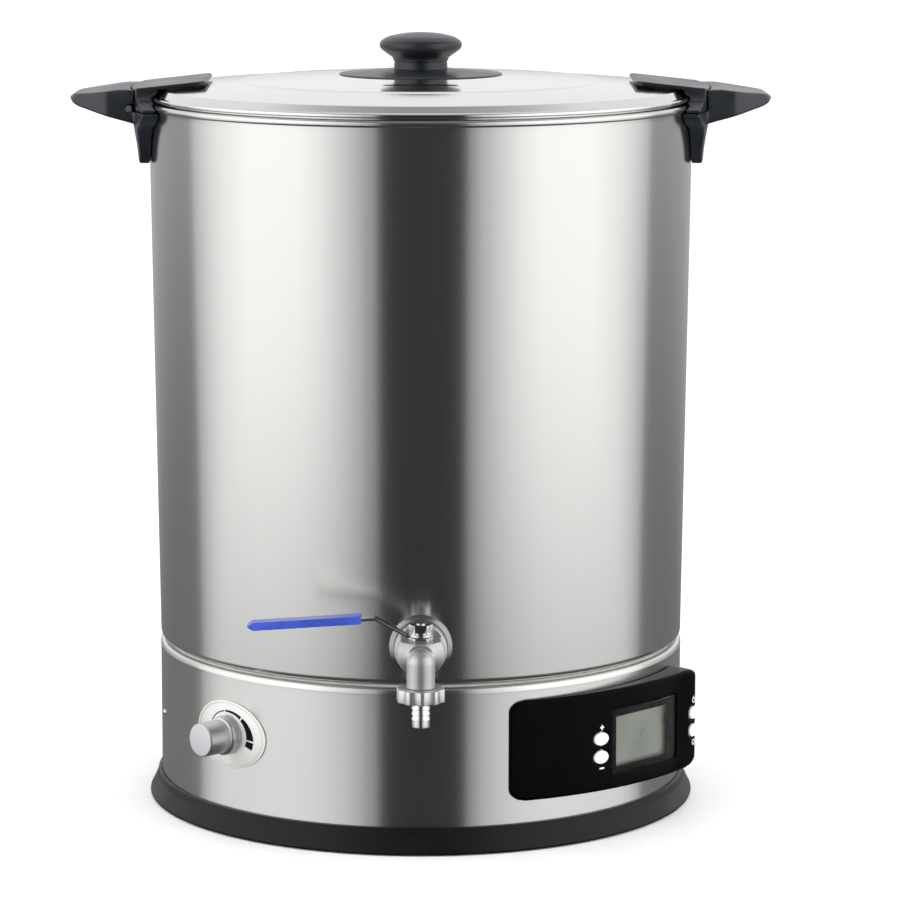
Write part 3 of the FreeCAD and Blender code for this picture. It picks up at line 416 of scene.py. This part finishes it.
DIAL_SILVER = grained("dial_silver", (0.66, 0.66, 0.64), (0.74, 0.74, 0.72), 0.42, 1800, 0.05,
                      0.05, 0.55)
GRIP_BLUE = grained("grip_blue", (0.020, 0.050, 0.34), (0.035, 0.085, 0.50), 0.38, 1500, 0.06,
                    0.10, coat=0.25)

FINISHES = {
    "brushed_steel": WALL_STEEL,
    "polished_steel": BRIGHT_STEEL,
    "black_plastic": BLACK_PLASTIC,
    "base_plastic": BASE_PLASTIC,
    "dial_print": DIAL_SILVER,
    "knob_aluminium": KNOB_ALUMINIUM,
    "gloss_black": GLOSS_BLACK,
    "lens_clear": window_glass("display_window"),
    "button_white": BUTTON_WHITE,
    "cast_steel": CAST_STEEL,
    "turned_steel": TURNED_STEEL,
    "lever_steel": LEVER_STEEL,
    "grip_blue": GRIP_BLUE,
}
# dark colour, light colour, roughness, grain size, spread, depth and, for metals, 1.0
SMALL_PART_FINISHES = {
    "galvanised_steel": ((0.42, 0.43, 0.44), (0.60, 0.61, 0.62), 0.42, 90, 0.1, 0.1, 1.0),
    "foot_rubber": ((0.020, 0.020, 0.020), (0.034, 0.034, 0.034), 0.75, 1400, 0.08, 0.3),
    "screw_steel": ((0.50, 0.50, 0.49), (0.64, 0.64, 0.63), 0.30, 1500, 0.06, 0.08, 1.0),
    "seal_silicone": ((0.60, 0.60, 0.58), (0.70, 0.70, 0.68), 0.55, 1200, 0.05, 0.1),
    "heater_aluminium": ((0.60, 0.61, 0.62), (0.72, 0.73, 0.74), 0.45, 800, 0.08, 0.2, 1.0),
    "element_steel": ((0.20, 0.19, 0.18), (0.34, 0.32, 0.30), 0.45, 600, 0.1, 0.2, 1.0),
    "cutout_ceramic": ((0.55, 0.52, 0.46), (0.66, 0.63, 0.57), 0.60, 1000, 0.08, 0.2),
    "probe_steel": ((0.55, 0.55, 0.54), (0.66, 0.66, 0.65), 0.28, 1500, 0.05, 0.06, 1.0),
    "circuit_board": ((0.010, 0.085, 0.035), (0.020, 0.130, 0.060), 0.42, 300, 0.06, 0.2),
    "spacer_nylon": ((0.66, 0.65, 0.61), (0.76, 0.75, 0.71), 0.50, 1200, 0.06, 0.1),
    "relay_case": ((0.02, 0.06, 0.20), (0.03, 0.09, 0.28), 0.40, 1500, 0.06, 0.1),
    "thermostat_case": ((0.50, 0.51, 0.52), (0.62, 0.63, 0.64), 0.36, 900, 0.08, 0.1, 1.0),
    "thermostat_brass": ((0.55, 0.42, 0.20), (0.68, 0.54, 0.28), 0.30, 1300, 0.06, 0.1, 1.0),
    "display_grey": ((0.24, 0.25, 0.22), (0.29, 0.305, 0.27), 0.30, 600, 0.04, 0.02),
    "seat_ptfe": ((0.78, 0.78, 0.76), (0.86, 0.86, 0.84), 0.50, 1000, 0.05, 0.05),
}
for finish_name, values in SMALL_PART_FINISHES.items():
    FINISHES[finish_name] = grained(finish_name, *values)
SLOT_OF = {}
for node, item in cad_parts.items():
    for place, cad_material in enumerate(item.data.materials):
        SLOT_OF[node] = cad_material.name.split(".")[0]
        item.material_slots[place].material = FINISHES[SLOT_OF[node]]


def place_piece(piece, body, nodes=(), finish=None):
    """Hand a finished piece to its body, in the place of its CAD nodes, with its finish."""
    alone(piece)
    slot = SLOT_OF[nodes[0]] if nodes else None
    piece.data.materials.clear()
    piece.data.materials.append(finish or FINISHES[slot])
    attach(piece, body)
    if nodes:
        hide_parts(*nodes)
    return piece


# ---------------------------------------------------------------- vessel and housing

vessel_low, vessel_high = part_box("vessel")
shell_low, shell_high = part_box("lower_shell")
ring_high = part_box("base_ring")[1]
RIM_TOP = vessel_high.z / MM
FLOOR_UNDER = vessel_low.z / MM
SHELL_RADIUS = shell_high.x / MM
WALL_GAUGE = 1.2
LIP_RADIUS = 171


def make_vessel():
    """Deep drawn pot: flat floor, rounded corner, slightly flared wall and a rolled bead at the rim."""
    rim = vessel_high.x / MM
    neck, foot = rim - 1.8, 183.4
    outline = [(0, FLOOR_UNDER + WALL_GAUGE), (foot - WALL_GAUGE, FLOOR_UNDER + WALL_GAUGE),
               (neck - WALL_GAUGE, RIM_TOP - 7.8), (neck - WALL_GAUGE, RIM_TOP - 4.6),
               (rim - 4.8, RIM_TOP - 4.2), (rim - 4.8, RIM_TOP), (rim, RIM_TOP),
               (rim, RIM_TOP - 4.8), (neck + 0.4, RIM_TOP - 4.8), (neck, RIM_TOP - 7.8),
               (foot, FLOOR_UNDER), (0, FLOOR_UNDER)]
    rounds = {1: 3.8, 5: 2.0, 6: 2.35, 7: 2.2, 10: 5.0}
    return turned("vessel_wall", outline, rounds, steps=256)


def make_lower_shell():
    """Housing wall: straight, with a rolled shoulder that turns in under the vessel."""
    low, radius = shell_low.z / MM, SHELL_RADIUS
    top = shell_high.z / MM
    outline = [(radius - 1, low), (radius - 0.2, low), (radius - 0.2, top - 6.6), (radius, top - 4),
               (radius - 0.8, top), (LIP_RADIUS, top), (LIP_RADIUS, top - 1), (radius - 3, top - 1),
               (radius - 1.2, top - 4)]
    return turned("housing_wall", outline, {4: 2.4, 3: 2.5, 7: 1.2}, steps=256)


def make_base_ring():
    """Flared plastic skirt that the housing stands in."""
    top, foot = ring_high.z / MM, ring_high.x / MM
    outline = [(SHELL_RADIUS + 0.2, top), (SHELL_RADIUS + 2.4, top), (SHELL_RADIUS + 3.3, top - 4.6),
               (foot - 2.2, 6.5), (foot, 2.2), (foot - 0.6, 1), (foot - 5, 1),
               (SHELL_RADIUS + 1.4, 3.6), (172, 3.6), (172, 6.4), (SHELL_RADIUS + 0.2, 6.4)]
    return turned("base_skirt", outline, {1: 1.0, 2: 6.0, 3: 9.0, 4: 1.2}, steps=256)


place_piece(make_vessel(), "kettle", ["vessel"], WALL_STEEL)
place_piece(make_lower_shell(), "kettle", ["lower_shell"], WALL_STEEL)
place_piece(make_base_ring(), "kettle", ["base_ring"], BASE_PLASTIC)


def make_rivet(name, turn_deg, height, radius=2.2):
    """A small domed blind rivet on the housing wall."""
    turn = math.radians(turn_deg)
    out = Vector((math.sin(turn), -math.cos(turn), 0))
    foot = out * ((SHELL_RADIUS - 0.6) * MM) + UP * (height * MM)
    outline = [(0, 0), (radius, 0), (radius, 0.5), (radius * 0.75, 1.3), (0, 1.6)]
    return turned(name, outline, {3: 0.8}, steps=24, centre=foot, axis=out)


RIVET_LEVEL = 63
for label, bearing in (("left", -78), ("back_left", -150), ("back_right", 150)):
    place_piece(make_rivet("housing_rivet_" + label, bearing, RIVET_LEVEL), "kettle",
                finish=BRIGHT_STEEL)

# ---------------------------------------------------------------- lid

lid_low, lid_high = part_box("lid")
knob_low, knob_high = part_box("lid_knob")
disc_low, disc_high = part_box("knob_disc")


def make_lid():
    """Spun lid: nearly flat crown, a soft step at the edge of the dome, and a rolled bead."""
    crown, edge = lid_high.z / MM, lid_high.x / MM
    bead = lid_low.z / MM + 10.4
    outline = [(0, crown), (50, crown), (124, crown - 3.4), (127, crown - 4.3), (180.6, crown - 8.6),
               (185.0, crown - 13.0), (edge, crown - 13.2), (edge, bead - 2.0),
               (edge - 3.4, bead - 2.0), (184, bead - 2.2), (184, lid_low.z / MM), (183, lid_low.z / MM),
               (183, bead),
               (178.6, crown - 9.6), (126, crown - 5.4), (50, crown - 1), (0, crown - 1)]
    lid = turned("lid_shell", outline, {1: 300, 2: 4, 3: 4, 4: 1.2, 5: 0.5, 6: 1.2, 7: 1.2}, steps=256)
    reach, slot_width = 84, 7
    bpy.ops.mesh.primitive_cylinder_add(vertices=48, radius=slot_width / 2 * MM, depth=20 * MM,
                                        location=(0, -reach * MM, crown * MM))
    cutter = bpy.context.active_object
    bpy.ops.object.transform_apply(location=True)
    half = (51 - slot_width) / 2 * MM
    bpy.ops.object.mode_set(mode="EDIT")
    for side in (-1, 1):
        pick_points(cutter, lambda co: co.x * side > 1e-6)
        bpy.ops.transform.translate(value=(side * half, 0, 0))
    bpy.ops.object.mode_set(mode="OBJECT")
    modified(lid, "BOOLEAN", object=cutter, operation="DIFFERENCE", solver="EXACT")
    bpy.data.objects.remove(cutter)
    alone(lid)
    bpy.ops.object.shade_smooth_by_angle(angle=math.radians(30))
    return lid


def make_knob_disc():
    low, radius = disc_low.z / MM, disc_high.x / MM
    top = disc_high.z / MM
    outline = [(0, low), (radius, low), (radius, low + 1.2), (20, top), (0, top)]
    return turned("knob_disc_plate", outline, {2: 0.9, 3: 8}, steps=128)


def make_lid_knob():
    """Mushroom knob: short neck with a collar, and a low crown."""
    low, top, wide = knob_low.z / MM, knob_high.z / MM, knob_high.x / MM
    outline = [(0, low), (18.6, low), (18.3, low + 5.0), (19.0, low + 5.6), (19.4, low + 7.6),
               (wide - 3.6, low + 11.4), (wide, low + 14.2), (wide, low + 18.6),
               (wide - 5.5, low + 22.0), (13, top - 0.9), (0, top)]
    return turned("lid_knob_cap", outline, {4: 3, 5: 8, 6: 4, 7: 3.6, 8: 12, 9: 60}, steps=128)


place_piece(make_lid(), "lid", ["lid"], LID_STEEL)
knob_disc = place_piece(make_knob_disc(), "lid", ["knob_disc"], BLACK_PLASTIC)
knob_disc.visible_glossy = False
place_piece(make_lid_knob(), "lid", ["lid_knob"], BLACK_PLASTIC)

# ---------------------------------------------------------------- handles and lid ears


LEG_FOOT = 0.4500
LEG_INNER_FACE = 0.1885
GRIP_TIP = 0.2395


def shape_handle(piece):
    """Taper the leg towards its foot, and fill out the corners of the grip's tip."""
    side = 1 if piece.name.startswith("right") else -1
    pick_points(piece, lambda co: co.z < LEG_FOOT)
    bpy.ops.transform.resize(value=(0.66, 0.80, 1), center_override=(LEG_INNER_FACE * side, 0, 0),
                             use_proportional_edit=True, proportional_size=0.034,
                             proportional_edit_falloff="SMOOTH")
    pick_points(piece, lambda co: co.x * side > GRIP_TIP)
    bpy.ops.transform.resize(value=(1, 1.22, 1), center_override=(0, 0, 0),
                             use_proportional_edit=True, proportional_size=0.020,
                             proportional_edit_falloff="SMOOTH")


for side in ("left", "right"):
    grip = moulded(side + "_handle", side + "_grip", 0.9, 12, shape_handle)
    place_piece(grip, "kettle", [side + "_handle"], BLACK_PLASTIC)
    ear = moulded(side + "_lid_clip", side + "_ear", 0.8, 6)
    place_piece(ear, "lid", [side + "_lid_clip"], BLACK_PLASTIC)

# ---------------------------------------------------------------- tap

place_piece(moulded("tap_body", "tap_casting", 0.5, 3), "kettle", ["tap_body"], CAST_STEEL)
place_piece(machined("tap_flange", "tap_collar", 0.5), "kettle", ["tap_flange"], COLLAR_STEEL)
place_piece(machined("spout_nut", "union_nut", 0.8, 3), "spout_nut", ["spout_nut"], NUT_STEEL)
place_piece(machined("tap_lever", "lever_strip", 0.35), "tap_handle", ["tap_lever"], LEVER_STEEL)
place_piece(machined("stem_nut", "lever_nut", 0.35), "tap_handle", ["stem_nut"], BRIGHT_STEEL)
place_piece(machined("packing_nut", "gland_ring", 0.3), "kettle", ["packing_nut"], TURNED_STEEL)
lever_grip = place_piece(moulded("lever_sleeve", "lever_grip", 0.5, 5), "tap_handle",
                         ["lever_sleeve"], GRIP_BLUE)
lever_grip.visible_glossy = False


def make_hose_tail():
    """Barbed tail: three shallow barbs and a plain end, bored through."""
    low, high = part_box("hose_tail")
    middle = (low + high) / 2
    end, top = low.z / MM, high.z / MM
    land, bore = 5.6, 4.0
    outline = [(bore, end), (land, end), (land, end + 5)]
    for barb in range(3):
        step = end + 5 + 3.6 * barb
        outline += [(land + 0.5, step + 0.4), (land - 0.4, step + 3.4)]
    outline += [(land, end + 17), (land, top - 1.2), (8.1, top - 1.2), (8.1, top), (bore, top)]
    return turned("hose_barb", outline, {1: 0.6}, steps=64, centre=(0, middle.y, 0))


place_piece(make_hose_tail(), "kettle", ["hose_tail"], TURNED_STEEL)

# ---------------------------------------------------------------- thermostat

dial_low, dial_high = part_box("dial_plate")
DIAL_BEARING = -45
DIAL_LEVEL = (dial_low.z + dial_high.z) / 2 / MM
DIAL_OUT = Vector((-math.sqrt(0.5), -math.sqrt(0.5), 0))
DIAL_CENTRE = DIAL_OUT * (183.6 * MM) + UP * (DIAL_LEVEL * MM)
DIAL_ARC_RADIUS = 184.7
DIAL_FACE = 184.75 * MM


def make_knob():
    """Turned aluminium knob: a stepped skirt, a long barrel and a chamfered face."""
    outline = [(0, 4.6), (10.4, 4.6), (10.4, 1.9), (13.4, 1.9), (13.2, 7.6), (12.3, 8.7), (11.5, 9.0),
               (11.4, 25.7), (10.6, 26.5), (0, 26.5)]
    return turned("dial_knob", outline, {4: 0.8, 8: 0.3}, steps=96, centre=DIAL_CENTRE, axis=DIAL_OUT)


def on_housing(across, up, lift=0.0):
    """A point on the curved dial face, from its middle: across to the right and up, in millimetres."""
    turn = math.radians(DIAL_BEARING) + across / DIAL_ARC_RADIUS
    reach = DIAL_FACE + lift * MM
    return Vector((math.sin(turn) * reach, -math.cos(turn) * reach, (DIAL_LEVEL + up) * MM))


def make_scale_arc(name, first, last, inner, outer, inner_end=None, outer_end=None, squash=0.84):
    """A printed arc of the scale, from one clock angle to another, that may grow wider on the way."""
    steps = max(3, round(abs(last - first) / 4))
    inner_end, outer_end = inner_end or inner, outer_end or outer
    rows = []
    for radius, radius_end in ((inner, inner_end), (outer, outer_end)):
        row = []
        for step in range(steps + 1):
            share = step / steps
            angle = math.radians(first + (last - first) * share)
            reach = radius + (radius_end - radius) * share
            row.append(on_housing(reach * math.sin(angle), reach * squash * math.cos(angle)))
        rows.append(row)
    return finish_stroke(two_lines(name, rows), DIAL_BEARING, 0.12)


place_piece(machined("dial_plate", "dial_disc", 0.35, 2, flat=0.3), "kettle", ["dial_plate"],
            DIAL_SILVER)
place_piece(make_knob(), "thermostat_dial", ["thermostat_knob"], KNOB_ALUMINIUM)
SCALE_MARKS = [
    ("scale_mark_low", -62, -12, 18.6, 19.2, 18.6, 19.6),
    ("scale_mark_mild", -8, 38, 18.4, 19.8, 18.2, 20.8),
    ("scale_mark_warm", 42, 94, 17.8, 21.0, 17.4, 23.8),
    ("scale_mark_hot", 98, 113, 17.4, 23.8, 17.4, 24.0),
]
for label, first, last, inner, outer, inner_end, outer_end in SCALE_MARKS:
    place_piece(make_scale_arc(label, first, last, inner, outer, inner_end, outer_end), "kettle",
                finish=PRINT_BLACK)
place_piece(make_scale_arc("dial_border_line", 0, 359, 31.2, 31.6, squash=46.5 / 67), "kettle",
            finish=FINISHES["screw_steel"])

# ---------------------------------------------------------------- control panel

place_piece(moulded("panel_housing", "panel_case", 1.0, 12), "kettle", ["panel_housing"], GLOSS_BLACK)
BUTTON_BODIES = {"button_up": "up_button", "button_down": "down_button",
                 "button_power": "power_button", "button_set": "set_button"}
for node, body in BUTTON_BODIES.items():
    place_piece(moulded(node, node + "_cap", 0.3, 3), body, [node], BUTTON_WHITE)

PANEL_CENTRE = Vector((-7.8, 38.4, 0)) * MM
PANEL_RADIUS = 225.0


def on_panel(phi, height, across=0.0, up=0.0, lift=0.0):
    """A point on the panel's curved face: its own angle and height, then a step across and up."""
    turn = math.radians(phi) + across / PANEL_RADIUS
    reach = (PANEL_RADIUS + lift) * MM
    return PANEL_CENTRE + Vector((math.sin(turn) * reach, -math.cos(turn) * reach, (height + up) * MM))


def make_stroke(name, path, half, phi, height):
    """A printed stroke on the panel along a path of (across, up) points."""
    piece = start_point(name, on_panel(phi, height, path[0][0], path[0][1] - half))
    points = [on_panel(phi, height, across, up - half) for across, up in path]
    draw_on([after - before for before, after in zip(points, points[1:])])
    bpy.ops.mesh.select_all(action="SELECT")
    bpy.ops.mesh.extrude_region_move(TRANSFORM_OT_translate={"value": UP * (2 * half * MM)})
    return finish_stroke(piece, phi)


def make_ring_sign(name, radius, half, phi, height, first=0.0, last=360.0):
    """A printed ring, whole or open, on the panel."""
    steps = 24
    angles = [math.radians(first + (last - first) * step / steps) for step in range(steps + 1)]
    rows = [[on_panel(phi, height, reach * math.sin(angle), reach * math.cos(angle))
             for angle in angles] for reach in (radius - half, radius + half)]
    return finish_stroke(two_lines(name, rows), phi)


WINDOW_START, WINDOW_END = 37.9, 54.9
WINDOW_LOW, WINDOW_HIGH = 43.0, 87.5


def frame_line(side, edge_low, edge_high, lift):
    """A closed line inside the window's edge, in from its sides, bottom and top."""
    left, right = WINDOW_START + side, WINDOW_END - 1.9 * side
    low, high = WINDOW_LOW + edge_low, WINDOW_HIGH - edge_high
    corners = [(left, low), (right, low), (right, high), (left, high), (left, low)]
    return [on_panel(phi, height, lift=lift) for phi, height in corners]


def make_display_bezel():
    """The dark frame between the window and the display behind it."""
    rows = [frame_line(0.10, 0.4, 0.4, -2.9), frame_line(1.25, 4.4, 5.6, -3.3)]
    return finish_stroke(two_lines("display_bezel", rows), (WINDOW_START + WINDOW_END) / 2)


place_piece(make_display_bezel(), "kettle", finish=GLOSS_BLACK)

SIGN_LEFT, SIGN_RIGHT = 35.3, 61.0
SIGNS = [
    make_stroke("sign_plus_bar", [(-1.7, 0), (1.7, 0)], 0.45, SIGN_LEFT, 77.2),
    make_stroke("sign_plus_post", [(-0.45, 0), (0.45, 0)], 1.7, SIGN_LEFT, 77.2),
    make_stroke("sign_minus", [(-1.9, 0), (1.9, 0)], 0.5, SIGN_LEFT, 49.0),
    make_ring_sign("sign_power_ring", 1.9, 0.35, SIGN_RIGHT, 79.4, 35, 325),
    make_stroke("sign_power_post", [(-0.35, 1.5), (0.35, 1.5)], 1.1, SIGN_RIGHT, 79.4),
    make_ring_sign("sign_set_ring", 1.7, 0.35, SIGN_RIGHT, 49.4),
]
for sign in SIGNS:
    place_piece(sign, "kettle", finish=PRINT_WHITE)

# ---------------------------------------------------------------- mains entry

place_piece(machined("cable_gland", "cable_gland_body", 0.4), "kettle", ["cable_gland"], BLACK_PLASTIC)

# ---------------------------------------------------------------- studio


def pure_light(name, strength, shade=1.0):
    material = bpy.data.materials.new(name)
    material.use_nodes = True
    tree = material.node_tree
    tree.nodes.clear()
    glow = tree.nodes.new("ShaderNodeEmission")
    glow.inputs["Color"].default_value = (shade, shade, shade, 1)
    glow.inputs["Strength"].default_value = strength
    end = tree.nodes.new("ShaderNodeOutputMaterial")
    tree.links.new(glow.outputs["Emission"], end.inputs["Surface"])
    return material


def make_floor():
    bpy.ops.object.select_all(action="DESELECT")
    bpy.ops.mesh.primitive_circle_add(vertices=96, radius=3.0, fill_type="NGON", location=(0, 0, 0))
    floor = bpy.context.active_object
    floor.name = "studio_floor"
    paint = grained("floor_paint", (0.93, 0.93, 0.93), (0.96, 0.96, 0.96), 0.8, 60, 0.05, 0.0)
    floor.data.materials.append(paint)
    floor.visible_glossy = False
    floor.visible_shadow = False


def make_dark_card():
    """A dark card beside the camera: the steel shows it as the dark stripe down its middle."""
    bpy.ops.object.select_all(action="DESELECT")
    bpy.ops.mesh.primitive_plane_add(size=1, location=(0.155, -3.2, -0.2), rotation=(math.pi / 2, 0, 0))
    card = bpy.context.active_object
    card.name = "studio_dark_card"
    bpy.ops.transform.resize(value=(2.2, 1, 5.0))
    card.data.materials.append(pure_light("card_cloth", 0.020))
    for sight in ("visible_camera", "visible_diffuse", "visible_transmission", "visible_shadow"):
        setattr(card, sight, False)


def make_softbox(name, bearing, radiance, width, height, distance, level):
    """A large soft light at a bearing from the front, in degrees, facing the kettle."""
    turn = math.radians(bearing)
    place = Vector((math.sin(turn), -math.cos(turn), 0)) * distance + UP * level
    light = bpy.data.lights.new(name, "AREA")
    light.shape = "RECTANGLE"
    light.size, light.size_y = width, height
    light.energy = radiance * math.pi * width * height
    lamp = bpy.data.objects.new(name, light)
    bpy.context.scene.collection.objects.link(lamp)
    lamp.location = place
    lamp.rotation_euler = (Vector((0, 0, level)) - place).to_track_quat("-Z", "Y").to_euler()


def ranged_light(tree, value, start, stop, low, high):
    """A brightness that goes from low to high as the direction goes from start to stop."""
    ranged = tree.nodes.new("ShaderNodeMapRange")
    for label, number in (("From Min", start), ("From Max", stop), ("To Min", low), ("To Max", high)):
        ranged.inputs[label].default_value = number
    tree.links.new(value, ranged.inputs["Value"])
    return ranged.outputs["Result"]


def make_sky():
    world = bpy.data.worlds.new("studio_air")
    bpy.context.scene.world = world
    world.use_nodes = True
    tree = world.node_tree
    tree.nodes.clear()
    path = tree.nodes.new("ShaderNodeLightPath")
    direction = tree.nodes.new("ShaderNodeTexCoord")
    split = tree.nodes.new("ShaderNodeSeparateXYZ")
    tree.links.new(direction.outputs["Generated"], split.inputs["Vector"])
    backdrop = ranged_light(tree, split.outputs["Y"], -0.10, 0.35, 0.18, 1.0)
    ceiling = ranged_light(tree, split.outputs["Z"], -0.23, 0.11, 0.16, 1.0)
    room = tree.nodes.new("ShaderNodeMath")
    room.operation = "MULTIPLY"
    tree.links.new(backdrop, room.inputs[0])
    tree.links.new(ceiling, room.inputs[1])
    reflected = tree.nodes.new("ShaderNodeMix")
    reflected.data_type = "FLOAT"
    reflected.inputs[2].default_value = 1.15
    tree.links.new(path.outputs["Is Glossy Ray"], reflected.inputs[0])
    tree.links.new(room.outputs[0], reflected.inputs[3])
    air = tree.nodes.new("ShaderNodeBackground")
    air.inputs["Color"].default_value = (1, 1, 1, 1)
    tree.links.new(reflected.outputs[0], air.inputs["Strength"])
    end = tree.nodes.new("ShaderNodeOutputWorld")
    tree.links.new(air.outputs["Background"], end.inputs["Surface"])


make_floor()
make_dark_card()
# bearing, radiance, width, height, distance and level: each box makes the middle of the light brighter
SOFTBOXES = [
    (64, 0.46, 5.0, 4.0, 2.40, 0.80),
    (64, 0.24, 3.9, 3.8, 2.35, 0.90),
    (64, 0.22, 3.1, 3.5, 2.30, 1.05),
    (64, 0.20, 2.4, 3.3, 2.25, 1.15),
    (63, 0.18, 1.8, 3.1, 2.20, 1.20),
    (63, 0.14, 1.2, 3.0, 2.15, 1.25),
]
for side, turn in (("left", -1), ("right", 1)):
    for number, (bearing, *values) in enumerate(SOFTBOXES, start=1):
        make_softbox("softbox_%s_%d" % (side, number), turn * bearing, *values)
make_sky()

RIM_RADIUS = 0.19
CAMERA_DISTANCE = 14.3 * RIM_RADIUS
CAMERA_HEIGHT = 3.62 * RIM_RADIUS
CAMERA_DROP = 0.1623
camera_data = bpy.data.cameras.new("studio_camera")
camera_data.sensor_width = 36
camera_data.lens = 156.5
camera_data.shift_x = 0.0325
camera_data.clip_end = 50
camera = bpy.data.objects.new("studio_camera", camera_data)
bpy.context.scene.collection.objects.link(camera)
camera.location = (0, -CAMERA_DISTANCE, CAMERA_HEIGHT)
camera.rotation_euler = (math.pi / 2 - CAMERA_DROP, 0, 0)
bpy.context.scene.camera = camera
bpy.context.scene.view_settings.view_transform = "Standard"

bpy.context.view_layer.update()
